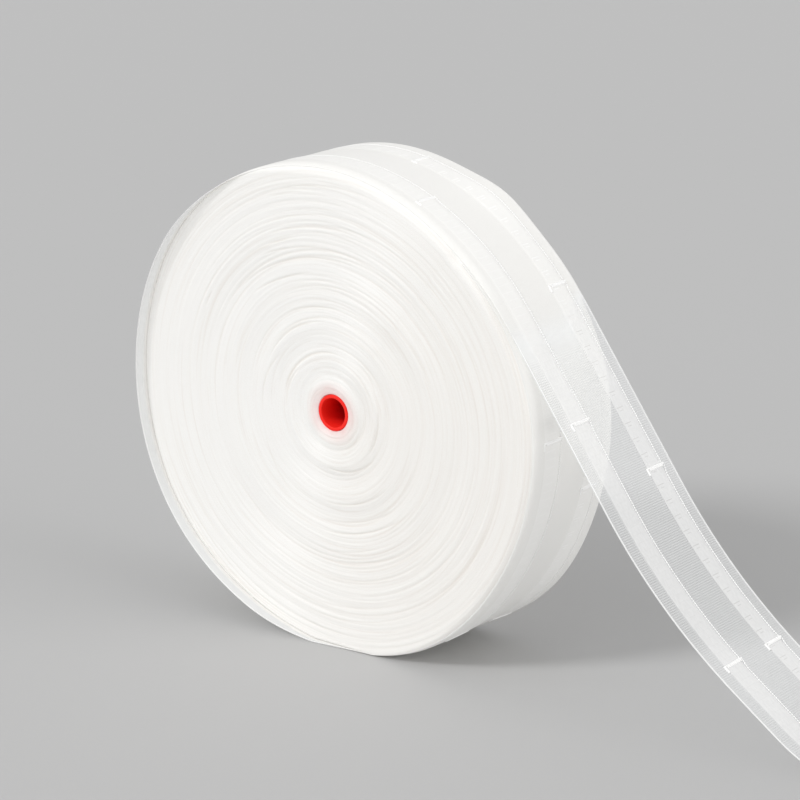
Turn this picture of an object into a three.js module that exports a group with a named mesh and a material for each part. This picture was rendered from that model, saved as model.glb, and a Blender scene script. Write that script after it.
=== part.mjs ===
// Roll of sheer curtain heading tape on a plastic core, with its loose end lying down to the floor
// Frame: +X towards the loose end, +Y from the front face to the back, +Z up, millimetres
// Origin: on the roll's flat spot, under its centre, half way across the tape
import * as THREE from 'three';

// Driving dimensions
const tapeWidth = 76;
const rollRadius = 145.6;
const coreRadius = 10.8;
const coreWall = 2;
const coreEase = 0.5;
const coreLength = 75;
const clearance = 0.3;
const tapeThickness = 1;
const flatSpotHalf = 20;
const flatEndLength = 30;

// The outermost turn slips forward on the roll's left side and stands out as a thin wall
const slip = { wall: 1.2, least: 0.6, most: 9, starts: 105, full: 135, fades: 245, ends: 285 };

// How the wound outline is out of round: the height of each set of lobes and one crest's angle
const outlineLobes = [
  { lobes: 1, height: 2.5, crest: 188 },
  { lobes: 2, height: 2.6, crest: 137 },
  { lobes: 3, height: 0.4, crest: 8 },
  { lobes: 4, height: 1.2, crest: 23 },
  { lobes: 5, height: 0.5, crest: 7 },
];

// Soft rings of the faces: part of the way from bore to rim, how far they stand out, and their waves
const faceRings = [
  { part: 0.000, stand: -1.0, sway: 0.0, waves: 1, crest: 0 },
  { part: 0.035, stand: 0.5, sway: 0.2, waves: 1, crest: 120 },
  { part: 0.085, stand: -0.6, sway: 0.3, waves: 2, crest: 100 },
  { part: 0.150, stand: 0.7, sway: 0.3, waves: 1, crest: 310 },
  { part: 0.215, stand: -0.5, sway: 0.4, waves: 3, crest: 95 },
  { part: 0.300, stand: 0.6, sway: 0.4, waves: 2, crest: 320 },
  { part: 0.385, stand: -0.4, sway: 0.5, waves: 3, crest: 100 },
  { part: 0.490, stand: 0.5, sway: 0.4, waves: 2, crest: 200 },
  { part: 0.600, stand: -0.3, sway: 0.5, waves: 4, crest: 105 },
  { part: 0.720, stand: 0.4, sway: 0.3, waves: 3, crest: 250 },
  { part: 0.850, stand: 0.0, sway: 0.3, waves: 2, crest: 60 },
  { part: 1.000, stand: -0.3, sway: 0.2, waves: 3, crest: 180 },
];

// The loose end's fall after it leaves the roll: each stretch's length and the slope at its end
const leavesRollAt = 35;
const fallStretches = [
  { length: 20, slope: 54.4 },
  { length: 108, slope: 54.4 },
  { length: 116, slope: 35.5 },
  { length: 36, slope: 34.8 },
];

// The tape's weave, across its width from the front edge: what is raised, and by how much
const selvedge = { width: 1.2, lift: 0.35 };
const pocketBands = [
  { from: -27.8, to: -13.4, cord: -12.7, barCells: 16 },
  { from: 14.6, to: 28.1, cord: 28.8, barCells: 12 },
];
const bandLift = 0.3;
const cordLift = 0.9;
const cordHalf = 0.7;
const barLift = 0.8;
const barHalf = 1.2;
const rampLength = 0.5;
const cellLength = 9.72;
// Both bands have a bar on this line, measured along the tape from where it leaves the roll
const sharedBarLine = 231;

// Fineness of the solids
const rollSections = 96;
const coreSections = 48;
const contactStep = 2.5;
const fallStep = 11;
const fineStep = 0.25;
const leastStep = 0.2;

const halfWidth = tapeWidth / 2;
const turnThickness = tapeThickness + clearance;
const boreRadius = coreRadius + clearance;
const turnEndAt = 52;
const turnEndWidth = 0.4;
const bottomAngle = 270;

const radians = THREE.MathUtils.degToRad;
const smooth = THREE.MathUtils.smoothstep;

// Outline radius of the wound tape, with one turn's thickness lost over the turn that ends at turnEndAt
function windingRadius(angle) {
  let radius = rollRadius;
  for (const { lobes, height, crest } of outlineLobes) {
    radius += height * Math.cos(lobes * radians(angle - crest));
  }
  const turned = (angle - turnEndAt) / 360;
  return radius - turnThickness * turned;
}

const bottomRadius = windingRadius(bottomAngle);
const flatSpotRise = bottomRadius - Math.sqrt(bottomRadius ** 2 - flatSpotHalf ** 2);
const centreHeight = bottomRadius - flatSpotRise;

// A point of a section at this angle, squashed up to the surface at the flat spot
function sectionPoint(angle, radius, across) {
  const x = radius * Math.cos(radians(angle));
  const z = centreHeight + radius * Math.sin(radians(angle));
  return new THREE.Vector3(x, across, Math.max(z, 0));
}

function slipAt(angle) {
  const rise = smooth(angle, slip.starts, slip.full);
  const fade = 1 - smooth(angle, slip.fades, slip.ends);
  return slip.least + (slip.most - slip.least) * Math.min(rise, fade);
}

function ringStand({ stand, sway, waves, crest }, angle) {
  return stand + sway * Math.cos(waves * radians(angle - crest));
}

// One section of the wound tape as [radius, across] points: rim, front face, bore, back face
function rollSection(angle) {
  const outer = windingRadius(angle);
  const inner = outer - slip.wall;
  const forward = slipAt(angle);
  const ringRadius = (part) => THREE.MathUtils.lerp(boreRadius, inner, part);
  const front = faceRings.map((ring) => [ringRadius(ring.part), -halfWidth - ringStand(ring, angle)]);
  const back = faceRings.map((ring) => [ringRadius(ring.part), halfWidth + ringStand(ring, -angle)]);
  const frontFoot = front[front.length - 1][1];
  const backFoot = back[back.length - 1][1];
  return [
    [outer, 0],
    [outer, frontFoot - forward],
    [inner, frontFoot - forward],
    ...front.reverse(),
    ...back,
    [inner, backFoot - forward - slip.least],
    [outer, backFoot - forward - slip.least],
  ];
}

// The wound tape: a ring grid whose sections follow the outline, and step down where the turn ends
function rollGeometry() {
  const rows = rollSection(0).length;
  const geometry = new THREE.TorusGeometry(rollRadius, halfWidth, rows, rollSections);
  const position = geometry.attributes.position;
  for (let i = 0; i <= rollSections; i += 1) {
    const section = i % rollSections;
    const angle = turnEndAt + (360 - turnEndWidth) * section / (rollSections - 1);
    const outline = rollSection(angle);
    for (let j = 0; j <= rows; j += 1) {
      const [radius, across] = outline[j % rows];
      const point = sectionPoint(angle, radius, across);
      position.setXYZ(j * (rollSections + 1) + i, point.x, point.y, point.z);
    }
  }
  return geometry;
}

// The core: a plain tube with eased rims, lathed round Y
function coreGeometry() {
  const inner = coreRadius - coreWall;
  const half = coreLength / 2;
  const profile = [
    [inner, coreEase - half],
    [inner + coreEase, -half],
    [coreRadius - coreEase, -half],
    [coreRadius, coreEase - half],
    [coreRadius, half - coreEase],
    [coreRadius - coreEase, half],
    [inner + coreEase, half],
    [inner, half - coreEase],
    [inner, coreEase - half],
  ];
  return new THREE.LatheGeometry(profile.map(([r, y]) => new THREE.Vector2(r, y)), coreSections);
}

// The underside of the loose end, from its contact with the roll to the floor, in fine steps
function looseEndPath() {
  const path = [];
  const underRoll = (angle) => {
    const radius = windingRadius(angle + 360) + clearance;
    return new THREE.Vector2(radius * Math.cos(radians(angle)), centreHeight + radius * Math.sin(radians(angle)));
  };
  const startsAt = turnEndAt - turnEndWidth - 2 * THREE.MathUtils.radToDeg(clearance / rollRadius);
  for (let angle = startsAt; angle > leavesRollAt; angle -= fineStep) {
    path.push(underRoll(angle));
  }
  path.push(underRoll(leavesRollAt));
  const contactCount = path.length;
  const nearlyThere = underRoll(leavesRollAt + fineStep);
  let point = path[contactCount - 1].clone();
  let slope = Math.atan2(nearlyThere.y - point.y, point.x - nearlyThere.x);
  const step = (length, turn) => {
    slope += turn / 2;
    point = new THREE.Vector2(point.x + length * Math.cos(slope), point.y - length * Math.sin(slope));
    slope += turn / 2;
    path.push(point);
  };
  const run = (length, endSlope) => {
    const count = Math.round(length / fineStep);
    const turn = (endSlope - slope) / count;
    for (let i = 0; i < count; i += 1) {
      step(length / count, turn);
    }
  };
  for (const { length, slope: endSlope } of fallStretches) {
    run(length, radians(endSlope));
  }
  const landingRadius = point.y / (1 - Math.cos(slope));
  run(landingRadius * slope, 0);
  run(flatEndLength, 0);
  return { path, contactCount };
}

const { path: tapePath, contactCount } = looseEndPath();
const tapeStations = [0];
for (let i = 1; i < tapePath.length; i += 1) {
  tapeStations.push(tapeStations[i - 1] + tapePath[i].distanceTo(tapePath[i - 1]));
}
const leavesAt = tapeStations[contactCount - 1];
const tapeLength = tapeStations[tapeStations.length - 1];

// Where the underside is after this length of tape, and the direction square to it
function tapeAt(length) {
  const last = tapePath.length - 1;
  const after = Math.min(Math.max(tapeStations.findIndex((s) => s > length), 1), last);
  const found = length >= tapeStations[last] ? last : after;
  const from = tapePath[found - 1];
  const to = tapePath[found];
  const part = (length - tapeStations[found - 1]) / (tapeStations[found] - tapeStations[found - 1]);
  const place = from.clone().lerp(to, part);
  const along = to.clone().sub(from).normalize();
  place.y = Math.max(place.y, 0);
  return { place, out: new THREE.Vector2(-along.y, along.x) };
}

// The bars of a band that fall on the loose end, as lengths of tape
function barLines({ barCells }) {
  const pitch = barCells * cellLength;
  const shared = leavesAt + sharedBarLine;
  const lines = [];
  for (let line = shared % pitch; line < tapeLength - barHalf - rampLength; line += pitch) {
    if (line > barHalf + rampLength) {
      lines.push(line);
    }
  }
  return lines;
}

function sorted(values) {
  return [...values].sort((a, b) => a - b).filter((v, i, all) => i === 0 || v - all[i - 1] > leastStep);
}

// Lengths along the tape at which the sheet has a row of points
function tapeRows() {
  const rows = [0, leavesAt, tapeLength];
  for (let s = contactStep; s < leavesAt; s += contactStep * 2) {
    rows.push(s);
  }
  for (let s = leavesAt + fallStep; s < tapeLength - 1; s += fallStep) {
    rows.push(s);
  }
  const bars = pocketBands.flatMap(barLines);
  const barReach = barHalf + 2 * rampLength;
  const clearOfBars = rows.filter((s) => bars.every((bar) => Math.abs(s - bar) > barReach));
  const edges = [-barHalf - rampLength, -barHalf, barHalf, barHalf + rampLength];
  return sorted([...clearOfBars, ...bars.flatMap((bar) => edges.map((edge) => bar + edge))]);
}

// Places across the tape at which the sheet has a column of points, with how much each is raised
function tapeColumns() {
  const edge = halfWidth - selvedge.width;
  const columns = [
    { across: -halfWidth, lift: selvedge.lift },
    { across: -edge, lift: selvedge.lift },
    { across: -edge + rampLength, lift: 0 },
  ];
  for (const band of pocketBands) {
    columns.push({ across: band.from - rampLength, lift: 0 });
    columns.push({ across: band.from, lift: bandLift, band });
    columns.push({ across: band.to, lift: bandLift, band });
    columns.push({ across: band.cord, lift: cordLift });
    columns.push({ across: band.cord + cordHalf, lift: 0 });
  }
  columns.push({ across: edge - rampLength, lift: 0 });
  columns.push({ across: edge, lift: selvedge.lift });
  columns.push({ across: halfWidth, lift: selvedge.lift });
  return columns;
}

function barLiftAt(band, length) {
  const near = Math.min(...barLines(band).map((bar) => Math.abs(bar - length)));
  return barLift * (1 - smooth(near, barHalf, barHalf + rampLength));
}

// The loose end: a slab of rows and columns bent along its path, with its weave raised on the outside
function looseEndGeometry() {
  const rows = tapeRows();
  const columns = tapeColumns();
  const geometry = new THREE.BoxGeometry(rows.length - 1, columns.length - 1, 1, rows.length - 1, columns.length - 1, 1);
  const position = geometry.attributes.position;
  for (let i = 0; i < position.count; i += 1) {
    const row = Math.round(position.getX(i) + (rows.length - 1) / 2);
    const column = Math.round(position.getY(i) + (columns.length - 1) / 2);
    const outside = position.getZ(i) > 0;
    const { place, out } = tapeAt(rows[row]);
    const { across, lift, band } = columns[column];
    const raised = lift + (band ? barLiftAt(band, rows[row]) : 0);
    const height = outside ? tapeThickness + raised : 0;
    position.setXYZ(i, place.x + out.x * height, across, place.y + out.y * height);
  }
  return geometry;
}

function fabric(colour) {
  return new THREE.MeshStandardMaterial({ color: colour, roughness: 0.9, metalness: 0 });
}

function plastic(colour) {
  return new THREE.MeshStandardMaterial({ color: colour, roughness: 0.3, metalness: 0 });
}

function piece(name, geometry, material, height = 0) {
  const mesh = new THREE.Mesh(geometry, material);
  mesh.name = name;
  mesh.position.z = height;
  return mesh;
}

const object = new THREE.Group();
object.add(piece('roll', rollGeometry(), fabric(0xf2f1ef)));
object.add(piece('core', coreGeometry(), plastic(0xe8251c), centreHeight));
object.add(piece('loose_end', looseEndGeometry(), fabric(0xe6e8e8)));

export default object;
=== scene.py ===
import random
from math import atan2, cos, degrees, exp, hypot, pi, radians, sin, tau

import bmesh
import bpy
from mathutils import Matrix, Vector, noise


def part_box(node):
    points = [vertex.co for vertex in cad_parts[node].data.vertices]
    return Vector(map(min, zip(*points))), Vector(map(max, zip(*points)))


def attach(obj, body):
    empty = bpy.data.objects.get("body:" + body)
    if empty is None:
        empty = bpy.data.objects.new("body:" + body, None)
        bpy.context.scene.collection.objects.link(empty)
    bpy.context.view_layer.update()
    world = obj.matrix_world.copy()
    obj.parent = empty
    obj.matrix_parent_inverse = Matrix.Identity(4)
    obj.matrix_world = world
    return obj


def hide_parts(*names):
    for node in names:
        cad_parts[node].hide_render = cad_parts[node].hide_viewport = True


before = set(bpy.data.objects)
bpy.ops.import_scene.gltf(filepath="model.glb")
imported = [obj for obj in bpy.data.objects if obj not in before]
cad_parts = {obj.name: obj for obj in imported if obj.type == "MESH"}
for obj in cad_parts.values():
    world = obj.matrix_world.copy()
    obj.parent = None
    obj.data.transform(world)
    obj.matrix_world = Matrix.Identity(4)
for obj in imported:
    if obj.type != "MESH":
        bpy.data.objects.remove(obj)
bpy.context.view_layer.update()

# Places that the frame gives, in metres
coreLow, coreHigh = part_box("core")
tapeLow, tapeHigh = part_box("loose_end")
centreZ = (coreLow.z + coreHigh.z) / 2
coreRadius = (coreHigh.x - coreLow.x) / 2
halfWidth = (tapeHigh.y - tapeLow.y) / 2
tapeEndX = tapeHigh.x

# The wound outline, the same as the frame's roll, with lobes as count, height and crest in degrees
winding = {
    "radius": 0.1456,
    "turn": 0.0013,
    "turnEndAt": 52,
    "lobes": [(1, 0.0025, 188), (2, 0.0026, 137), (3, 0.0004, 8), (4, 0.0012, 23), (5, 0.0005, 7)],
}

# The weave across the tape, from its middle line with the front edge negative: bands, cords and cells
weave = {
    "selvedge": 0.0009,
    "bandOne": (-0.0278, -0.0137),
    "cordOne": -0.0127,
    "bandTwo": (0.0146, 0.0278),
    "cordTwo": 0.0288,
    "cell": 0.00972,
    "barCellsOne": 16,
    "barCellsTwo": 12,
    "sharedBar": 0.231,  # along the tape from where it leaves the roll
    "tightFrom": -33,  # cells from there, past which the tape was wound tighter
    "tightCell": 0.00934,
}


def smooth(value, low, high):
    part = min(max((value - low) / (high - low), 0.0), 1.0)
    return part * part * (3 - 2 * part)


def mix(low, high, part):
    return low + (high - low) * part


def outlineRadius(angle):
    lobes = sum(height * cos(count * radians(angle - crest)) for count, height, crest in winding["lobes"])
    return winding["radius"] + lobes


def turnRadius(angle):
    # The outer face of the tape at an angle that keeps counting up back along the winding
    return outlineRadius(angle) - winding["turn"] * (angle - winding["turnEndAt"]) / 360


def linkObject(name, data):
    piece = bpy.data.objects.new(name, data)
    bpy.context.scene.collection.objects.link(piece)
    return piece


def fromAxis(place):
    return hypot(place.x, place.z - centreZ)


def spinSection(section, steps, axis):
    # Spins a closed section, given as (radius, across) places, all the way round the roll's axis
    bm = bmesh.new()
    points = [bm.verts.new((radius, across, centreZ)) for radius, across in section]
    lines = [bm.edges.new(pair) for pair in zip(points, points[1:] + points[:1])]
    middle = (0, 0, centreZ)
    bmesh.ops.spin(bm, geom=points + lines, cent=middle, axis=axis, angle=tau, steps=steps, use_merge=True)
    bmesh.ops.remove_doubles(bm, verts=bm.verts, dist=1e-6)
    return bm


def finishMesh(bm, name, smoothFaces=True):
    mesh = bpy.data.meshes.new(name)
    for face in bm.faces:
        face.smooth = smoothFaces
    bm.to_mesh(mesh)
    bm.free()
    return mesh


def newMaterial(name):
    material = bpy.data.materials.new(name)
    material.use_nodes = True
    return material, material.node_tree.nodes["Principled BSDF"], Wiring(material.node_tree)


class Wiring:
    # Adds nodes to a tree with short calls, so that a pattern reads as arithmetic
    def __init__(self, tree):
        self.nodes = tree.nodes
        self.links = tree.links

    def join(self, value, socket):
        if isinstance(value, bpy.types.NodeSocket):
            self.links.new(value, socket)
        else:
            socket.default_value = value

    def math(self, operation, first, second=0.0, third=0.0):
        node = self.nodes.new("ShaderNodeMath")
        node.operation = operation
        for value, socket in zip((first, second, third), node.inputs):
            self.join(value, socket)
        return node.outputs[0]

    def mapRange(self, value, fromLow, fromHigh, toLow=0.0, toHigh=1.0):
        node = self.nodes.new("ShaderNodeMapRange")
        node.interpolation_type = "SMOOTHSTEP"
        for item, socket in zip((value, fromLow, fromHigh, toLow, toHigh), node.inputs):
            self.join(item, socket)
        return node.outputs[0]

    def combine(self, x, y, z=0.0):
        node = self.nodes.new("ShaderNodeCombineXYZ")
        for value, socket in zip((x, y, z), node.inputs):
            self.join(value, socket)
        return node.outputs[0]

    def separate(self, vector):
        node = self.nodes.new("ShaderNodeSeparateXYZ")
        self.join(vector, node.inputs[0])
        return node.outputs

    def noise(self, vector, scale, detail=2.0, rough=0.5):
        node = self.nodes.new("ShaderNodeTexNoise")
        self.join(vector, node.inputs["Vector"])
        node.inputs["Scale"].default_value = scale
        node.inputs["Detail"].default_value = detail
        node.inputs["Roughness"].default_value = rough
        return node.outputs["Fac"]

    def colour(self, factor, low, high):
        node = self.nodes.new("ShaderNodeMix")
        node.data_type = "RGBA"
        self.join(factor, node.inputs["Factor"])
        self.join(low, node.inputs["A"])
        self.join(high, node.inputs["B"])
        return node.outputs["Result"]

    def bump(self, height, strength, distance, normal=None):
        node = self.nodes.new("ShaderNodeBump")
        self.join(height, node.inputs["Height"])
        node.inputs["Strength"].default_value = strength
        node.inputs["Distance"].default_value = distance
        if normal is not None:
            self.join(normal, node.inputs["Normal"])
        return node.outputs["Normal"]


# Shared effects

def weaveGroup():
    # Sheer ground with two dense bands and bright selvedges, worked out from places on the tape in metres
    looks = {
        "pitch": 0.00135,
        "sheer": 0.06,
        "threads": 0.33,
        "band": 0.46,
        "bandSway": 0.02,
        "edge": 0.76,
        "soft": 0.00015,
        "tickThins": 0.25,  # of the band's cover
        "tickFades": (0.00038, 0.0001),  # from its middle line: where a tick is gone, and where it is full
    }
    cell = weave["cell"]
    # Ticks: their band, how far past the start of a cell, the part of the band they cross, and strength
    ticks = [
        ("bandTwo", [0.0009], (0.06, 0.52), 1.0),
        ("bandTwo", [0.0029], (0.2, 0.46), 0.7),
        ("bandOne", [0.0012, 0.0012 + cell / 2], (0.15, 0.75), 0.15),
    ]
    tree = bpy.data.node_groups.new("tapeWeave", "ShaderNodeTree")
    tree.interface.new_socket("Along", in_out="INPUT", socket_type="NodeSocketFloat")
    tree.interface.new_socket("Across", in_out="INPUT", socket_type="NodeSocketFloat")
    for name in ("Cover", "Dense", "Tick", "Height"):
        tree.interface.new_socket(name, in_out="OUTPUT", socket_type="NodeSocketFloat")
    w = Wiring(tree)
    inputs = tree.nodes.new("NodeGroupInput").outputs
    result = tree.nodes.new("NodeGroupOutput").inputs
    along, across = inputs["Along"], inputs["Across"]

    def between(low, high):
        start = w.mapRange(across, low - looks["soft"], low + looks["soft"])
        end = w.mapRange(across, high - looks["soft"], high + looks["soft"])
        return w.math("SUBTRACT", start, end)

    def threads(place, pitch):
        wave = w.math("COSINE", w.math("MULTIPLY", place, tau / pitch))
        return w.mapRange(wave, 0.1, 0.95)

    def tickAt(shift):
        # A narrow line in every cell, this far past its start
        place = w.math("SUBTRACT", along, weave["sharedBar"] + shift)
        return w.mapRange(w.math("PINGPONG", place, cell / 2), *looks["tickFades"])

    bands = w.math("ADD", between(*weave["bandOne"]), between(*weave["bandTwo"]))
    edgeFrom = halfWidth - weave["selvedge"]
    edges = w.mapRange(w.math("ABSOLUTE", across), edgeFrom - looks["soft"], edgeFrom + looks["soft"])
    net = w.math("MAXIMUM", threads(along, looks["pitch"]), threads(across, looks["pitch"]))
    patches = w.noise(w.combine(w.math("MULTIPLY", along, 40.0), w.math("MULTIPLY", across, 220.0)), 3.0)
    ground = w.math("MULTIPLY_ADD", net, looks["threads"], looks["sheer"])
    ground = w.math("MULTIPLY", ground, w.mapRange(patches, 0.3, 0.7, 0.95, 1.05))

    tick = 0.0
    for bandName, shifts, (first, last), strength in ticks:
        low, high = weave[bandName]
        crossed = between(mix(low, high, first), mix(low, high, last))
        for shift in shifts:
            tick = w.math("MULTIPLY_ADD", w.math("MULTIPLY", tickAt(shift), crossed), strength, tick)

    stretched = w.combine(w.math("MULTIPLY", along, 300.0), w.math("MULTIPLY", across, 700.0))
    cloudy = w.noise(stretched, 1.0, 3.0)
    leastBand, mostBand = looks["band"] - looks["bandSway"], looks["band"] + looks["bandSway"]
    band = w.math("MULTIPLY", bands, w.mapRange(cloudy, 0.3, 0.7, leastBand, mostBand))
    band = w.math("MULTIPLY", band, w.math("MULTIPLY_ADD", tick, -looks["tickThins"], 1.0))
    cover = w.math("MAXIMUM", ground, band)
    cover = w.math("MAXIMUM", cover, w.math("MULTIPLY", edges, looks["edge"]))
    finePitch = looks["pitch"] * 0.6
    fine = w.math("MULTIPLY", threads(along, finePitch), threads(across, finePitch))
    height = w.math("MULTIPLY_ADD", tick, -0.5, w.math("MULTIPLY", net, 0.3))
    height = w.math("MULTIPLY_ADD", fine, 0.15, height)
    w.join(cover, result["Cover"])
    w.join(w.math("MAXIMUM", bands, edges), result["Dense"])
    w.join(tick, result["Tick"])
    w.join(height, result["Height"])
    return tree


tapeWeave = weaveGroup()


def placeWeave(w):
    uv = w.nodes.new("ShaderNodeUVMap")
    uv.uv_map = "tapeMap"
    place = w.separate(uv.outputs["UV"])
    group = w.nodes.new("ShaderNodeGroup")
    group.node_tree = tapeWeave
    w.join(place[0], group.inputs["Along"])
    w.join(place[1], group.inputs["Across"])
    return group.outputs


# Materials

def sheerTapeMaterial():
    looks = {
        "sheerWhite": (0.95, 0.96, 0.96, 1),
        "bandWhite": (0.965, 0.965, 0.96, 1),
        "sheerLaid": (0.892, 0.884, 0.86, 1),  # where more turns lie beneath
        "bandLaid": (0.928, 0.921, 0.9, 1),
        # Painted shade: the dark line beside each tick's raised rib where the tape hangs free
        "tick": (0.8, 0.76, 0.73, 1),
        # Lighter ticks where the tape lies on the roll: partly their denser threads, partly a painted
        # highlight on the lit rib
        "tickLaidHighlight": (1.0, 0.998, 0.985, 1),
        "lets": 0.55,  # of the light that falls on its threads passes on through them
    }
    material, shader, w = newMaterial("sheerTape")
    parts = placeWeave(w)
    backed = w.nodes.new("ShaderNodeAttribute")
    backed.attribute_name = "backed"
    backed = backed.outputs["Fac"]
    free = w.colour(parts["Dense"], looks["sheerWhite"], looks["bandWhite"])
    laid = w.colour(parts["Dense"], looks["sheerLaid"], looks["bandLaid"])
    # Painted shade along the ticks of the free tape
    free = w.colour(w.math("MULTIPLY", parts["Tick"], 0.3), free, looks["tick"])
    # Partly painted highlight: the ticks lighten where the tape lies on the roll
    tickHighlight = w.math("MINIMUM", w.math("MULTIPLY", parts["Tick"], 2.6), 1.0)
    laid = w.colour(tickHighlight, laid, looks["tickLaidHighlight"])
    w.join(w.colour(w.mapRange(backed, 0.55, 1.0), free, laid), shader.inputs["Base Color"])
    cover = w.math("MAXIMUM", parts["Cover"], w.math("MULTIPLY", backed, 0.94))
    # Cloth seen along its surface hides more
    facing = w.nodes.new("ShaderNodeLayerWeight")
    facing.inputs["Blend"].default_value = 0.5
    slant = w.math("MULTIPLY", w.math("POWER", facing.outputs["Facing"], 4.0), 0.5)
    cover = w.math("MULTIPLY_ADD", w.math("SUBTRACT", 1.0, cover), slant, cover)
    path = w.nodes.new("ShaderNodeLightPath").outputs
    lightRay = w.math("MAXIMUM", path["Is Shadow Ray"], path["Is Diffuse Ray"])
    stopped = w.math("MULTIPLY_ADD", lightRay, -looks["lets"], 1.0)
    w.join(w.math("MULTIPLY", cover, stopped), shader.inputs["Alpha"])
    w.join(w.bump(parts["Height"], 0.6, 0.0002), shader.inputs["Normal"])
    shader.inputs["Roughness"].default_value = 0.55
    shader.inputs["Sheen Weight"].default_value = 0.2
    return material


def woundFaceMaterial():
    looks = {
        "white": (0.964, 0.955, 0.928, 1),
        # The crease colour is painted shade, and also the colour of the grain's darker specks
        "crease": (0.8, 0.745, 0.69, 1),
        # Painted reflection: the red core's light, as pink on the face near the bore, between these radii
        # in metres
        "paintedCoreReflection": (0.93, 0.66, 0.64, 1),
        "paintedCoreReflectionFrom": 0.0105,
        "paintedCoreReflectionTo": 0.021,
    }
    material, shader, w = newMaterial("woundFace")
    uv = w.nodes.new("ShaderNodeUVMap")
    uv.uv_map = "tapeMap"
    place = w.separate(uv.outputs["UV"])
    turn = w.math("MULTIPLY", place[0], tau)
    rings = w.math("MULTIPLY", place[1], 1000.0)  # millimetres from the centre
    east, north = w.math("COSINE", turn), w.math("SINE", turn)
    fineTurns = w.noise(w.combine(east, north, w.math("MULTIPLY", rings, 0.7)), 1.6, 2.0, 0.6)
    longArcs = w.noise(w.combine(east, north, w.math("MULTIPLY", rings, 0.5)), 0.9, 3.0, 0.6)
    broad = w.noise(w.combine(east, north, w.math("MULTIPLY", rings, 0.12)), 1.5)
    grain = w.noise(w.combine(w.math("MULTIPLY", east, rings), w.math("MULTIPLY", north, rings)), 1.8, 1.0)
    # Painted shade: the crease attribute darkens the carved creases toward the crease colour
    crease = w.nodes.new("ShaderNodeAttribute")
    crease.attribute_name = "crease"
    # Painted shade also along the fine turns and long arcs, in the grooves between turns; the grain adds
    # darker specks of its own tone
    depth = w.math("ADD", w.mapRange(fineTurns, 0.25, 0.5, 0.12, 0.0), crease.outputs["Fac"])
    depth = w.math("ADD", depth, w.mapRange(longArcs, 0.32, 0.46, 0.22, 0.0))
    depth = w.math("ADD", depth, w.mapRange(grain, 0.3, 0.55, 0.26, 0.0))
    # Painted shade: the face darkens towards the right and the lower right, as if the key light fell off
    # there
    paintedSideShade = w.math("ADD", w.math("MULTIPLY", east, 0.9), w.math("MULTIPLY", north, -0.4))
    depth = w.math("ADD", depth, w.mapRange(paintedSideShade, -0.4, 1.0, 0.0, 0.16))
    # White with painted shade and grain mixed in
    whiteShadeAndGrain = w.colour(w.math("MINIMUM", depth, 1.0), looks["white"], looks["crease"])
    # Painted reflection of the red core: full pink at the bore, gone by the outer radius, patchy by the
    # broad noise
    paintedCoreReflection = w.mapRange(place[1], looks["paintedCoreReflectionTo"], looks["paintedCoreReflectionFrom"])
    paintedCoreReflection = w.math("MULTIPLY", paintedCoreReflection, w.mapRange(broad, 0.3, 0.7, 0.45, 0.8))
    w.join(w.colour(paintedCoreReflection, whiteShadeAndGrain, looks["paintedCoreReflection"]), shader.inputs["Base Color"])
    turnBump = w.bump(fineTurns, 0.35, 0.0003, w.bump(grain, 0.3, 0.0002))
    w.join(w.bump(longArcs, 0.35, 0.0004, turnBump), shader.inputs["Normal"])
    # The threads run round with the turns, so the sheen gathers in two opposite sectors
    roundabout = w.nodes.new("ShaderNodeTangent")
    roundabout.direction_type = "UV_MAP"
    roundabout.uv_map = "tapeMap"
    w.join(roundabout.outputs["Tangent"], shader.inputs["Tangent"])
    shader.inputs["Specular IOR Level"].default_value = 0.7
    shader.inputs["Anisotropic"].default_value = 0.9
    shader.inputs["Anisotropic Rotation"].default_value = 0.25
    shader.inputs["Roughness"].default_value = 0.55
    shader.inputs["Subsurface Weight"].default_value = 0.25
    shader.inputs["Subsurface Scale"].default_value = 0.003
    shader.inputs["Subsurface Radius"].default_value = (1, 1, 1)
    return material


def woundRimMaterial():
    looks = {"sheerLaid": (0.965, 0.957, 0.932, 1), "bandLaid": (0.98, 0.973, 0.951, 1)}
    material, shader, w = newMaterial("woundRim")
    parts = placeWeave(w)
    w.join(w.colour(parts["Dense"], looks["sheerLaid"], looks["bandLaid"]), shader.inputs["Base Color"])
    w.join(w.bump(parts["Height"], 0.5, 0.0002), shader.inputs["Normal"])
    shader.inputs["Roughness"].default_value = 0.6
    return material


def drawCordMaterial():
    material, shader, w = newMaterial("drawCord")
    place = w.nodes.new("ShaderNodeTexCoord").outputs["Object"]
    twist = w.noise(place, 2600.0, 2.0)
    w.join(w.colour(twist, (0.97, 0.968, 0.96, 1), (1, 0.998, 0.99, 1)), shader.inputs["Base Color"])
    w.join(w.bump(twist, 0.4, 0.0002), shader.inputs["Normal"])
    shader.inputs["Roughness"].default_value = 0.5
    return material


def corePlasticMaterial():
    material, shader, w = newMaterial("corePlastic")
    place = w.separate(w.nodes.new("ShaderNodeTexCoord").outputs["Object"])
    stretched = w.combine(w.math("MULTIPLY", place[0], 9.0), place[1], w.math("MULTIPLY", place[2], 9.0))
    flow = w.noise(stretched, 60.0, 3.0)
    lit = w.colour(flow, (0.97, 0.022, 0.014, 1), (1.0, 0.034, 0.022, 1))
    # Painted shade: the red darkens deeper into the bore, where less light reaches
    inside = w.mapRange(place[1], coreLow.y + 0.001, coreLow.y + 0.022)
    w.join(w.colour(inside, lit, (0.62, 0.002, 0.008, 1)), shader.inputs["Base Color"])
    w.join(w.mapRange(flow, 0.3, 0.7, 0.3, 0.42), shader.inputs["Roughness"])
    w.join(w.bump(flow, 0.15, 0.0003), shader.inputs["Normal"])
    shader.inputs["Specular IOR Level"].default_value = 0.22
    return material


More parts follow.
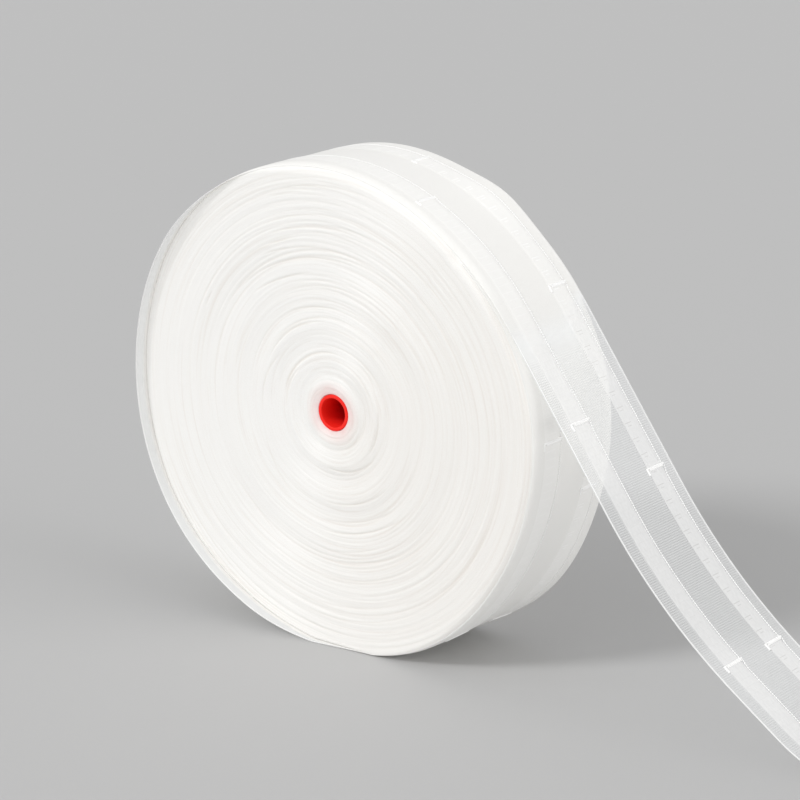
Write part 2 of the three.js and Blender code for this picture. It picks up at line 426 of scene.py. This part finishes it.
def floorMaterial():
    material, shader, w = newMaterial("paleFloor")
    place = w.nodes.new("ShaderNodeTexCoord").outputs["Object"]
    grain = w.noise(place, 500.0, 2.0)
    w.join(w.colour(grain, (0.503, 0.503, 0.503, 1), (0.515, 0.515, 0.515, 1)), shader.inputs["Base Color"])
    shader.inputs["Roughness"].default_value = 0.85
    return material


# The wound tape: a section spun round the core, then shaped turn by turn

woundTape = {
    "steps": 240,
    "frontTurns": 228,
    "backTurns": 110,
    # Across the rim, in millimetres, closer together at the front corner
    "rimPlaces": (-37.5, -36.8, -35.9, -34.8, -33.6, -32.2, -30.5, -20, -10, 0, 10, 20, 30, 36),
    "cornerReach": 0.007,
    "sharpReach": 0.0001,  # of the corner on the left and at the bottom, which is all but square
    "sharpFrom": (95, 125),  # degrees over which the corner turns square
    "sharpTo": (275, 325),
    "bore": coreRadius + 0.0003,
    "rimUnder": 0.0008,  # below the outer face of the last turn
    "flatClear": 0.0009,
    "ringHeight": 0.6,  # of what the table of rings says
    "turnSway": 0.00003,  # of each turn's edge, all the way round
    "turnFollows": 0.6,  # how much of the sway the next turn keeps
    "waveSway": 0.0001,  # of the edges' waves round the roll
    "waveRound": 1.6,
    "waveOutward": 0.34,  # for each turn
    "mainDepth": 0.4,  # of what the table of creases says
    "mainWidth": 0.6,
    "paintedCreaseShade": 750,  # painted shade in the creases, for each metre of depth
    "grooves": 230,
    "grooveAngles": (95, 105, 290, 300, 330, 10, 40, 60),  # where they gather
    "grooveStrays": 20,  # degrees to either side
    "grooveReach": (18, 75),
    "grooveRadius": (0.016, 0.142),
    "grooveBend": 0.0008,
    "grooveDepth": (0.00005, 0.00018),
    "grooveWidth": (0.0004, 0.0007),
    "seed": 11,
}

# Soft rings of the faces: part of the way out, how far they stand, and the height, count and crest of waves
faceRings = [
    (0.000, -0.0010, 0.0000, 1, 0),
    (0.035, 0.0005, 0.0002, 1, 120),
    (0.085, -0.0006, 0.0003, 2, 100),
    (0.150, 0.0007, 0.0003, 1, 310),
    (0.215, -0.0005, 0.0004, 3, 95),
    (0.300, 0.0006, 0.0004, 2, 320),
    (0.385, -0.0004, 0.0005, 3, 100),
    (0.490, 0.0005, 0.0004, 2, 200),
    (0.600, -0.0003, 0.0005, 4, 105),
    (0.720, 0.0004, 0.0003, 3, 250),
    (0.850, 0.0002, 0.0003, 2, 60),
    (1.000, 0.0000, 0.0002, 3, 180),
]

# The creases that show, carved into the face and given painted shade: start, middle and end angle in
# degrees, then radii, depth and width in millimetres
mainCreases = [
    {"angles": (111, 105, 100), "radii": (130.2, 129.8, 129.4), "depth": 0.9, "width": 0.6},
    {"angles": (112, 104, 90), "radii": (132.4, 131.6, 129.2), "depth": 0.6, "width": 0.7},
    {"angles": (118, 105, 92), "radii": (115.8, 116.4, 115.2), "depth": 0.6, "width": 0.7},
    {"angles": (114, 96, 86), "radii": (109.8, 108.9, 108.5), "depth": 0.9, "width": 0.7},
    {"angles": (117, 111, 106), "radii": (105.1, 104.2, 104.2), "depth": 1.3, "width": 0.6},
    {"angles": (121, 115, 108), "radii": (101.0, 99.8, 98.8), "depth": 1.3, "width": 0.6},
    {"angles": (142, 116, 80), "radii": (95.2, 92.6, 90.4), "depth": 1.1, "width": 0.9},
    {"angles": (134, 115, 100), "radii": (86.6, 83.3, 82.4), "depth": 1.3, "width": 0.8},
    {"angles": (152, 149, 147), "radii": (108.4, 109.0, 108.7), "depth": 1.8, "width": 0.5},
    {"angles": (120, 100, 82), "radii": (63.8, 62.6, 62.6), "depth": 0.9, "width": 0.8},
    {"angles": (152, 117, 96), "radii": (53.6, 54.4, 54.1), "depth": 1.2, "width": 0.8},
    {"angles": (172, 134, 84), "radii": (36.6, 36.1, 36.0), "depth": 1.6, "width": 1.1},
    {"angles": (190, 161, 142), "radii": (53.6, 51.3, 48.2), "depth": 0.9, "width": 0.9},
    {"angles": (200, 228, 242), "radii": (55.4, 60.5, 63.6), "depth": 0.9, "width": 0.8},
    {"angles": (262, 289, 322), "radii": (33.4, 35.6, 37.8), "depth": 1.2, "width": 0.9},
    {"angles": (262, 285, 315), "radii": (54.9, 54.9, 55.3), "depth": 1.2, "width": 0.8},
    {"angles": (264, 285, 312), "radii": (66.4, 65.6, 67.2), "depth": 1.1, "width": 0.8},
    {"angles": (266, 290, 316), "radii": (73.1, 72.4, 75.0), "depth": 1.0, "width": 0.8},
    {"angles": (264, 283, 304), "radii": (85.2, 83.3, 82.7), "depth": 0.8, "width": 0.8},
    {"angles": (266, 283, 306), "radii": (90.9, 90.0, 91.8), "depth": 0.8, "width": 0.8},
    {"angles": (264, 285, 302), "radii": (102.6, 102.5, 103.9), "depth": 0.7, "width": 0.8},
    {"angles": (262, 283, 300), "radii": (118.8, 117.5, 117.8), "depth": 0.7, "width": 0.8},
    {"angles": (208, 223, 234), "radii": (119.8, 122.5, 121.2), "depth": 0.7, "width": 0.8},
    {"angles": (210, 226, 244), "radii": (94.0, 91.4, 94.6), "depth": 0.7, "width": 0.8},
    {"angles": (186, 163, 134), "radii": (34.6, 34.7, 33.2), "depth": 1.1, "width": 1.2},
    {"angles": (372, 354, 322), "radii": (33.9, 33.6, 33.7), "depth": 1.1, "width": 0.9},
    {"angles": (424, 407, 388), "radii": (36.8, 36.9, 35.5), "depth": 0.8, "width": 0.8},
    {"angles": (200, 144, 92), "radii": (16.6, 16.0, 15.1), "depth": 1.2, "width": 0.8},
    {"angles": (404, 369, 318), "radii": (13.4, 14.8, 15.4), "depth": 1.0, "width": 0.7},
    {"angles": (176, 268, 364), "radii": (15.9, 15.3, 15.5), "depth": 0.9, "width": 0.7},
    {"angles": (58, 132, 236), "radii": (14.1, 14.5, 14.9), "depth": 0.8, "width": 0.7},
    {"angles": (196, 230, 262), "radii": (142.6, 142.2, 143.0), "depth": 1.5, "width": 0.5},
    {"angles": (206, 236, 266), "radii": (140.0, 140.2, 141.2), "depth": 1.2, "width": 0.5},
    {"angles": (214, 240, 270), "radii": (137.4, 137.0, 138.6), "depth": 1.2, "width": 0.5},
    {"angles": (222, 246, 276), "radii": (134.0, 133.8, 135.4), "depth": 1.0, "width": 0.5},
]


def ringStand(part, angle):
    # How far a face stands out there, between the two rings of the table that it lies between
    for low, high in zip(faceRings, faceRings[1:]):
        if part <= high[0]:
            break
    stands = []
    for _, stand, sway, waves, crest in (low, high):
        stands.append(stand + sway * cos(waves * radians(angle - crest)))
    return woundTape["ringHeight"] * mix(*stands, smooth(part, low[0], high[0]))


def pathRadius(angles, radii, angle):
    # The curve through three (angle, radius) points
    total = 0.0
    for i in range(3):
        term = radii[i]
        for j in range(3):
            if j != i:
                term *= (angle - angles[j]) / (angles[i] - angles[j])
        total += term
    return total


def rimRadius(angle):
    # The rim under the last turn winds inward, so it steps where that turn ends
    return turnRadius(angle) - woundTape["rimUnder"]


def easeCorner(inset, behind, reach):
    # Rounds the roll's front corner: how far in from the rim and behind the face a place comes to lie
    outward, forward = reach - inset, reach - behind
    if min(outward, forward) <= 0:
        return inset, behind
    share = max(outward, forward) / hypot(outward, forward)
    return reach - outward * share, reach - forward * share


def slipRise(angle):
    # None where the last turn lies flush, one where it has slipped fully forward
    slip = tapeStrip["slip"]
    return min(smooth(angle, slip["starts"], slip["full"]), 1 - smooth(angle, slip["fades"], slip["ends"]))


def cornerReach(angle):
    # How far the front corner is rounded: broadly on the right and at the top, hardly at all elsewhere
    angle %= 360
    sharp = smooth(angle, *woundTape["sharpFrom"]) * (1 - smooth(angle, *woundTape["sharpTo"]))
    return mix(woundTape["cornerReach"], woundTape["sharpReach"], sharp)


# Where the rim's back edge flares outward: angle and spread in degrees, height in metres
rimFlares = [(62, 9, 0.0029), (318, 20, 0.0026)]


def rimFlare(angle, across):
    lift = 0.0
    for middle, spread, height in rimFlares:
        lift += height * exp(-(((angle % 360 - middle) / spread) ** 2))
    return lift * smooth(across, 0.004, halfWidth)


def turnAngle(angle):
    # Degrees counted from the end of the last turn
    return winding["turnEndAt"] + (angle - winding["turnEndAt"]) % 360


def faceField(turns, grooves, creases, seed):
    # Height and painted crease shade of a face on a grid of angles and turns, in metres
    settings = woundTape
    draw = random.Random(seed)
    steps = settings["steps"]
    height = [[0.0] * (turns + 1) for _ in range(steps)]
    shade = [[0.0] * (turns + 1) for _ in range(steps)]
    level = 0.0
    levels = []
    for _ in range(turns + 1):
        level = settings["turnFollows"] * level + draw.gauss(0, settings["turnSway"])
        levels.append(level)
    for i in range(steps):
        turned = tau * i / steps
        east, north = settings["waveRound"] * cos(turned), settings["waveRound"] * sin(turned)
        for j in range(turns + 1):
            wave = noise.noise(Vector((east, north, seed + settings["waveOutward"] * j)))
            height[i][j] = levels[j] + settings["waveSway"] * wave

    def carve(angles, radii, depth, width):
        first, last = sorted((angles[0], angles[2]))
        for step in range(int(first * steps / 360), int(last * steps / 360) + 1):
            angle = step * 360 / steps
            if not first < angle < last:
                continue
            fade = sin(pi * (angle - first) / (last - first)) ** 0.7
            reach = rimRadius(turnAngle(angle)) - settings["bore"]
            centre = (pathRadius(angles, radii, angle) - settings["bore"]) / reach * turns
            spread = width / reach * turns
            inner = max(0, int(centre - 3 * spread))
            outer = min(turns, int(centre + 3 * spread) + 1)
            for j in range(inner, outer + 1):
                cut = fade * exp(-(((j - centre) / spread) ** 2))
                height[step % steps][j] -= depth * cut
                # Painted shade in the crease, darker the deeper it is carved
                shade[step % steps][j] += settings["paintedCreaseShade"] * depth * cut

    for crease in creases:
        radii = [radius / 1000 for radius in crease["radii"]]
        depth = settings["mainDepth"] * crease["depth"] / 1000
        carve(crease["angles"], radii, depth, settings["mainWidth"] * crease["width"] / 1000)
    for _ in range(grooves):
        middle = draw.choice((*settings["grooveAngles"], draw.uniform(0, 360)))
        middle += draw.uniform(-settings["grooveStrays"], settings["grooveStrays"])
        reach = draw.uniform(*settings["grooveReach"])
        radius = mix(*settings["grooveRadius"], draw.random() ** 0.8)
        bend = draw.uniform(-settings["grooveBend"], settings["grooveBend"])
        depth = draw.uniform(*settings["grooveDepth"])
        angles = (middle - reach, middle, middle + reach)
        carve(angles, (radius + bend, radius, radius - bend), depth, draw.uniform(*settings["grooveWidth"]))
    return height, shade


def buildWoundTape():
    settings = woundTape
    steps, front, back = settings["steps"], settings["frontTurns"], settings["backTurns"]
    bore, rim = settings["bore"], winding["radius"]
    section = [(mix(bore, rim, j / front), -halfWidth) for j in range(front + 1)]
    section += [(rim, across / 1000) for across in settings["rimPlaces"]]
    section += [(mix(bore, rim, j / back), halfWidth) for j in range(back, -1, -1)]
    bm = spinSection(section, steps, (0, -1, 0))
    frontField = faceField(front, settings["grooves"], mainCreases, settings["seed"])
    backField = faceField(back, settings["grooves"] // 2, [], settings["seed"] + 1)
    # Painted crease shade, kept for each vertex
    paintedShadeLayer = bm.verts.layers.float.new("crease")
    uvLayer = bm.loops.layers.uv.new("tapeMap")
    canonical = {}
    for vert in bm.verts:
        angle = degrees(atan2(vert.co.z - centreZ, vert.co.x)) % 360
        canonical[vert] = (fromAxis(vert.co), angle, vert.co.y)
    for face in bm.faces:
        middle = face.calc_center_median()
        onFront = middle.y < -halfWidth + 1e-5
        onBack = middle.y > halfWidth - 1e-5
        onBore = fromAxis(middle) < bore + 1e-5
        face.material_index = 0 if onFront or onBack or onBore else 1
        angles = [canonical[loop.vert][1] for loop in face.loops]
        wraps = max(angles) - min(angles) > 180
        for loop in face.loops:
            radius, angle, across = canonical[loop.vert]
            if wraps and angle < 180:
                angle += 360
            if face.material_index == 0:
                loop[uvLayer].uv = (angle / 360, radius)
            else:
                loop[uvLayer].uv = (-radians(angle) * rim, across)
    for vert, (radius, angle, across) in canonical.items():
        part = (radius - bore) / (rim - bore)
        reach = rimRadius(turnAngle(angle))
        placed = mix(bore, reach, part)
        step = round(angle * steps / 360) % steps
        stand = 0.0
        if abs(across) > halfWidth - 1e-6:
            isFront = across < 0
            turns = front if isFront else back
            height, shade = frontField if isFront else backField
            ring = round(part * turns)
            quiet = smooth(part, 0.0, 0.03)
            stand = ringStand(part, angle if isFront else -angle) + quiet * height[step][ring]
            stand *= 1 - 0.7 * smooth(part, 0.95, 1.0)
            vert[paintedShadeLayer] = shade[step][ring]
        inset, behind = easeCorner(reach - placed, across + halfWidth, cornerReach(angle))
        placed = reach - inset + rimFlare(angle, across) * smooth(part, 0.9, 1.0)
        across = behind - halfWidth
        y = across + (stand if across > 0 else -stand)
        x = placed * cos(radians(angle))
        z = centreZ + placed * sin(radians(angle))
        vert.co = (x, y, max(z, settings["flatClear"]))
    bmesh.ops.recalc_face_normals(bm, faces=bm.faces)
    mesh = finishMesh(bm, "wound_tape")
    mesh.materials.append(woundFaceMaterial())
    mesh.materials.append(woundRimMaterial())
    piece = linkObject("wound_tape", mesh)
    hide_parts("roll")
    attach(piece, "root")


# The outermost turn and the loose end are one strip of tape

tapeStrip = {
    "leavesAt": 35,
    "startsAt": 408,  # tucked under the last turn
    "underFace": 0.0005,
    "thickness": 0.0004,
    "flatClear": 0.0004,
    "fall": [(0.020, 54.4), (0.108, 54.4), (0.116, 35.5), (0.036, 34.8)],
    "fineStep": 0.0005,
    "slip": {"least": 0.0002, "most": 0.009, "starts": 110, "full": 145, "fades": 245, "ends": 285},
    "slipEases": 40,  # degrees past where it leaves the roll
    "cornerEases": (-0.03, 0.015),  # lengths between which it stops following the roll's corner
    "flareEases": 0.02,
    "backedTo": 0.06,  # past where it leaves the roll
    "backedToAtBack": 0.022,
    "doubled": 0.6,  # how backed it looks where it has slipped
    "showsThrough": (-0.0048, -0.001),  # past the face, where the turns beneath come to show
    "edgeTuck": 0.0005,
    "tuckWidth": 0.0022,
    "bandLift": 0.00015,
    "edgeLift": 0.0001,
    "tickLift": 0.0001,
    "puff": 0.00005,
}


class TapeRoute:
    # The line of the strip seen from the front: points, the tape's length there, and the angle on the roll
    def __init__(self):
        self.points = []
        self.lengths = []
        self.angles = []

    def add(self, point, angle):
        if self.points:
            self.lengths.append(self.lengths[-1] + (point - self.points[-1]).length)
        else:
            self.lengths.append(0.0)
        self.points.append(point)
        self.angles.append(angle)

    def at(self, length):
        # Point, outward direction and angle at this length, counted from where the tape leaves the roll
        length += self.leaves
        low, high = 0, len(self.lengths) - 1
        while high - low > 1:
            middle = (low + high) // 2
            if self.lengths[middle] > length:
                high = middle
            else:
                low = middle
        part = (length - self.lengths[low]) / (self.lengths[high] - self.lengths[low])
        before, after = self.points[max(low - 1, 0)], self.points[min(high + 1, len(self.points) - 1)]
        along = (after - before).normalized()
        point = self.points[low].lerp(self.points[high], part)
        return point, Vector((-along.z, 0, along.x)), mix(self.angles[low], self.angles[high], part)


def buildRoute():
    settings = tapeStrip
    route = TapeRoute()

    def onRoll(angle):
        radius = turnRadius(angle) - settings["underFace"]
        z = centreZ + radius * sin(radians(angle))
        return Vector((radius * cos(radians(angle)), 0, max(z, settings["flatClear"])))

    angle = settings["startsAt"]
    while angle > settings["leavesAt"]:
        route.add(onRoll(angle), angle)
        angle -= 0.5
    route.add(onRoll(settings["leavesAt"]), settings["leavesAt"])
    route.leaves = route.lengths[-1]
    start, nearly = route.points[-1], onRoll(settings["leavesAt"] + 0.25)
    slope = atan2(nearly.z - start.z, start.x - nearly.x)

    def run(length, endSlope, slope):
        count = max(round(length / settings["fineStep"]), 1)
        turn = (endSlope - slope) / count
        for _ in range(count):
            slope += turn / 2
            step = Vector((cos(slope), 0, -sin(slope))) * (length / count)
            route.add(route.points[-1] + step, settings["leavesAt"])
            slope += turn / 2
        return slope

    for length, endSlope in settings["fall"]:
        slope = run(length, radians(endSlope), slope)
    landing = (route.points[-1].z - settings["underFace"]) / (1 - cos(slope))
    slope = run(landing * slope, 0.0, slope)
    run(tapeEndX - route.points[-1].x, 0.0, slope)
    route.ends = route.lengths[-1] - route.leaves
    route.starts = -route.leaves
    return route


route = buildRoute()


def slipForward(angle):
    slip = tapeStrip["slip"]
    onRoll = smooth(angle, tapeStrip["leavesAt"], tapeStrip["leavesAt"] + tapeStrip["slipEases"])
    return onRoll * mix(slip["least"], slip["most"], slipRise(angle))


def onTape(length, across, height=0.0):
    # A place on the strip: along it, across it from the middle, and above its middle layer
    point, out, angle = route.at(length)
    follows = (1 - slipRise(angle)) * (1 - smooth(length, *tapeStrip["cornerEases"]))
    reach = cornerReach(angle) + woundTape["rimUnder"] - tapeStrip["underFace"]
    inset, behind = easeCorner(0.0, across + halfWidth, reach)
    atEdge = 1 - smooth(across, -halfWidth, -halfWidth + tapeStrip["tuckWidth"])
    tuck = follows * tapeStrip["edgeTuck"] * atEdge
    flare = rimFlare(angle, across) * smooth(-length, 0.0, tapeStrip["flareEases"])
    place = point + out * (height + flare - inset * follows - tuck)
    place.y = mix(across, behind - halfWidth, follows) - slipForward(angle)
    return place


def backedAt(length, across):
    # One where turns of the roll lie right under the strip, none where it hangs free, and in between
    # where it has slipped forward of the face
    if length > tapeStrip["backedTo"]:
        return 0.0
    slid = slipForward(route.at(length)[2]) - tapeStrip["slip"]["least"]
    behind = across + halfWidth - slid
    fadesBy = mix(tapeStrip["backedTo"], tapeStrip["backedToAtBack"], smooth(across, 0.006, halfWidth))
    under = smooth(behind, *tapeStrip["showsThrough"]) * (1 - smooth(length, 0.0, fadesBy))
    return max(under, tapeStrip["doubled"] * smooth(slid, 0.001, 0.006))


def tapeColumns():
    # Places across the strip and how much each is raised, with whether ticks reach there
    edge = halfWidth - weave["selvedge"]
    bandLift, edgeLift = tapeStrip["bandLift"], tapeStrip["edgeLift"]
    crossed = [(0.1, 1), (0.45, 1), (0.55, 0), (0.8, 0)]  # parts of a band, with one where ticks reach

    def plain(*places):
        # Columns of the sheer ground, in millimetres
        return [(across / 1000, 0, 0) for across in places]

    def band(low, high):
        columns = [(low - 0.0005, 0, 0), (low, bandLift, 0)]
        columns += [(mix(low, high, part), bandLift, tick) for part, tick in crossed]
        return columns + [(high, bandLift, 0), (high + 0.0004, 0, 0)]

    columns = [(-halfWidth, edgeLift, 0), (-edge, edgeLift, 0), (-edge + 0.0005, 0, 0)]
    columns += plain(-35.6, -34.6, -33.6, -32.6, -31.4, -30.2)
    columns += band(*weave["bandOne"])
    columns += plain(-10, -6, -2, 2, 6, 10, 13)
    columns += band(*weave["bandTwo"])
    columns += plain(31, 34)
    return columns + [(edge - 0.0005, 0, 0), (edge, edgeLift, 0), (halfWidth, edgeLift, 0)]


def tapeRows():
    # Lengths along the strip, five to a cell with one on each tick
    cell = weave["cell"]
    rows = [route.starts, route.ends]
    index = int((route.starts - weave["sharedBar"]) / cell) - 1
    while index * cell + weave["sharedBar"] < route.ends + cell:
        for offset in (-0.0005, 0.0, 0.0005, 0.0032, 0.0065):
            rows.append(weave["sharedBar"] + index * cell + offset)
        index += 1
    inside = sorted(row for row in rows if route.starts <= row <= route.ends)
    return [row for i, row in enumerate(inside) if i == 0 or row - inside[i - 1] > 1e-4]


def buildTapeStrip():
    rows, columns = tapeRows(), tapeColumns()
    bm = bmesh.new()
    bmesh.ops.create_grid(bm, x_segments=len(rows) - 1, y_segments=len(columns) - 1, size=0.5)
    uvLayer = bm.loops.layers.uv.new("tapeMap")
    backedLayer = bm.verts.layers.float.new("backed")
    places = {}
    for vert in bm.verts:
        row = round((vert.co.x + 0.5) * (len(rows) - 1))
        column = round((vert.co.y + 0.5) * (len(columns) - 1))
        length = rows[row]
        across, lift, tick = columns[column]
        cells = (length - weave["sharedBar"]) / weave["cell"]
        fromTick = abs(cells - round(cells)) * weave["cell"]
        lift += tick * tapeStrip["tickLift"] * (1 - smooth(fromTick, 0.0, 0.0006))
        if columns[column][1] > tapeStrip["edgeLift"]:
            lift += tapeStrip["puff"] * abs(sin(pi * cells))
        places[vert] = (length, across)
        vert[backedLayer] = backedAt(length, across)
        vert.co = onTape(length, across, lift)
        vert.co.z = max(vert.co.z, tapeStrip["flatClear"] * 0.7)
    for face in bm.faces:
        for loop in face.loops:
            loop[uvLayer].uv = places[loop.vert]
    mesh = finishMesh(bm, "sheer_tape")
    mesh.materials.append(sheerTapeMaterial())
    piece = linkObject("sheer_tape", mesh)
    wall = piece.modifiers.new("wall", "SOLIDIFY")
    wall.thickness = tapeStrip["thickness"]
    wall.offset = 0
    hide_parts("loose_end")
    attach(piece, "root")
    return piece


# Draw cords: a beaded line beside each band, which crosses it at every bar

drawCords = {
    "beadPitch": 0.0015,
    "beadRadius": 0.00042,
    "sides": 6,
    "rise": 0.00022,
    "barRadius": 0.0006,
    "barPitch": 0.00095,
    "hook": 0.004,
    "curveOut": 0.0014,
    "curveLength": 0.007,
    "pastBand": 0.0008,
    "hookLean": 0.0003,
    "secondShorter": 0.002,
    "endClear": 0.004,  # between a bar and the strip's ends
    "floorClear": 0.0001,
}


def barLengths(cells):
    found = []
    for index in range(-12, 6):
        count = index * cells
        tight = min(count - weave["tightFrom"], 0)
        length = weave["sharedBar"] + (count - tight) * weave["cell"] + tight * weave["tightCell"]
        if route.starts + drawCords["endClear"] < length < route.ends - drawCords["endClear"]:
            found.append(length)
    return found


def cordAcross(line, length, bars):
    # After each bar the cord starts a little outside its line and curves back in
    passed = [length - bar for bar in bars if length >= bar]
    after = min(passed) if passed else 1.0
    return line + drawCords["curveOut"] * (1 - smooth(after, 0.0, drawCords["curveLength"]))


def buildCordLines(name, line, bars):
    # A tube whose girth swells at every bead
    settings = drawCords
    beads = [(0.0, 0.12), (0.28, 0.8), (0.5, 1.0), (0.72, 0.8)]
    count = int((route.ends - route.starts) / settings["beadPitch"]) - 1
    rings = [(bead + place, girth) for bead in range(count) for place, girth in beads]
    bm = bmesh.new()
    bmesh.ops.create_grid(bm, x_segments=len(rings) - 1, y_segments=settings["sides"], size=0.5)
    for vert in bm.verts:
        place, girth = rings[round((vert.co.x + 0.5) * (len(rings) - 1))]
        turned = tau * (vert.co.y + 0.5)
        length = route.starts + (0.5 + place) * settings["beadPitch"]
        radius = girth * settings["beadRadius"]
        across = cordAcross(line, length, bars) + radius * cos(turned)
        vert.co = onTape(length, across, settings["rise"] + radius * sin(turned))
        vert.co.z = max(vert.co.z, settings["floorClear"])
    bmesh.ops.remove_doubles(bm, verts=bm.verts, dist=1e-6)
    bmesh.ops.holes_fill(bm, edges=[edge for edge in bm.edges if edge.is_boundary], sides=settings["sides"])
    bmesh.ops.recalc_face_normals(bm, faces=bm.faces)
    mesh = finishMesh(bm, name)
    mesh.materials.append(cordMaterial)
    piece = linkObject(name, mesh)
    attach(piece, "root")
    return piece


def buildBars(name, line, bandStart, bars):
    # Two runs of cord lie side by side over the band, with a short hook at its far edge
    settings = drawCords
    curve = bpy.data.curves.new(name, "CURVE")
    curve.dimensions = "3D"
    curve.bevel_depth = settings["barRadius"]
    curve.bevel_resolution = 2
    curve.use_fill_caps = True
    for bar in bars:
        start, end = line + settings["curveOut"], bandStart - settings["pastBand"]
        first = [(bar, mix(start, end, part)) for part in (0, 0.25, 0.5, 0.75, 1)]
        first += [(bar + settings["hook"] * part, end + settings["hookLean"] * part) for part in (0.4, 1)]
        beside, shortEnd = bar + settings["barPitch"], end + settings["secondShorter"]
        second = [(beside, mix(line, shortEnd, part)) for part in (0, 0.33, 0.67, 1)]
        for run in (first, second):
            spline = curve.splines.new("POLY")
            spline.points.add(len(run) - 1)
            for point, (length, across) in zip(spline.points, run):
                x, y, z = onTape(min(length, route.ends), across, settings["rise"])
                point.co = (x, y, max(z, settings["barRadius"] + settings["floorClear"]), 1)
    made = bpy.data.meshes.new_from_object(bpy.data.objects.new(name + "_curve", curve))
    made.materials.clear()
    made.materials.append(cordMaterial)
    for polygon in made.polygons:
        polygon.use_smooth = True
    piece = linkObject(name, made)
    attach(piece, "root")
    return piece


# The core: a moulded tube with rounded lips

coreTube = {"steps": 96, "wall": 0.002, "lip": 0.0009, "proud": 0.0002, "taper": 0.00025}


def buildCore():
    settings = coreTube
    outer, inner = coreRadius, coreRadius - settings["wall"]
    front, back = coreLow.y - settings["proud"], coreHigh.y + settings["proud"]
    middle = (front + back) / 2
    waist = inner - settings["taper"]
    section = [(inner, front), (outer, front), (outer, back), (inner, back), (waist, middle)]
    bm = spinSection(section, settings["steps"], (0, 1, 0))
    bmesh.ops.recalc_face_normals(bm, faces=bm.faces)

    def atEnd(vert):
        return abs(abs(vert.co.y - middle) - (back - front) / 2) < 1e-6

    lips = []
    for edge in bm.edges:
        first, second = edge.verts
        if atEnd(first) and atEnd(second) and abs(fromAxis(first.co) - fromAxis(second.co)) < 1e-6:
            lips.append(edge)
    bmesh.ops.bevel(
        bm,
        geom=lips,
        offset=settings["lip"],
        segments=4,
        profile=0.5,
        affect="EDGES",
        material=-1,
        clamp_overlap=True,
    )
    mesh = finishMesh(bm, "core_tube")
    mesh.materials.append(corePlasticMaterial())
    piece = linkObject("core_tube", mesh)
    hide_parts("core")
    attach(piece, "root")


buildWoundTape()
print("wound tape built")
stripPiece = buildTapeStrip()
print("outer turn and loose end built")

cordMaterial = drawCordMaterial()
barsOne, barsTwo = barLengths(weave["barCellsOne"]), barLengths(weave["barCellsTwo"])
cordPieces = [
    buildCordLines("draw_cord_front", weave["cordOne"], barsOne),
    buildCordLines("draw_cord_back", weave["cordTwo"], barsTwo),
    buildBars("cord_bars_front", weave["cordOne"], weave["bandOne"][0], barsOne),
    buildBars("cord_bars_back", weave["cordTwo"], weave["bandTwo"][0], barsTwo),
]
print("draw cords built")
buildCore()
print("core built")

# Studio: a pale floor, soft light all round and a soft key from the left

studio = {
    "floorSize": 14.0,
    "surround": 0.62,
    "suns": [  # name, power, spread in degrees, where it stands
        ("keyLight", 1.14, 13, (-0.2367, -0.7285, 0.643)),
        ("frontFill", 0.62, 80, (-0.4, -0.86, 0.3)),
        ("lowFill", 1.6, 44, (0.96, 0.1, 0.1)),
    ],
    "eye": (0.96983, -1.22286, 0.59504),
    "look": (-0.58923, 0.75849, -0.27840),
    "lens": 124.13,
}


def buildStudio():
    bm = bmesh.new()
    bmesh.ops.create_grid(bm, x_segments=1, y_segments=1, size=studio["floorSize"])
    floor = linkObject("floor", finishMesh(bm, "floor", False))
    floor.data.materials.append(floorMaterial())

    world = bpy.data.worlds.new("studioWorld")
    world.use_nodes = True
    background = world.node_tree.nodes["Background"]
    background.inputs["Color"].default_value = (1, 1, 1, 1)
    background.inputs["Strength"].default_value = studio["surround"]
    bpy.context.scene.world = world

    for name, power, spread, place in studio["suns"]:
        sun = linkObject(name, bpy.data.lights.new(name, "SUN"))
        sun.data.energy = power
        sun.data.angle = radians(spread)
        sun.rotation_mode = "QUATERNION"
        sun.rotation_quaternion = Vector(place).to_track_quat("Z", "Y")

    camera = linkObject("camera", bpy.data.cameras.new("camera"))
    camera.data.lens = studio["lens"]
    camera.data.clip_start, camera.data.clip_end = 0.05, 60
    camera.location = studio["eye"]
    camera.rotation_mode = "QUATERNION"
    camera.rotation_quaternion = Vector(studio["look"]).to_track_quat("-Z", "Y")
    scene = bpy.context.scene
    scene.camera = camera
    scene.view_settings.view_transform = "Standard"
    # White cloth in many sheer layers needs many bounces to come out white
    scene.cycles.max_bounces = 24
    scene.cycles.diffuse_bounces = 14
    scene.cycles.transparent_max_bounces = 32


buildStudio()
print("studio built")
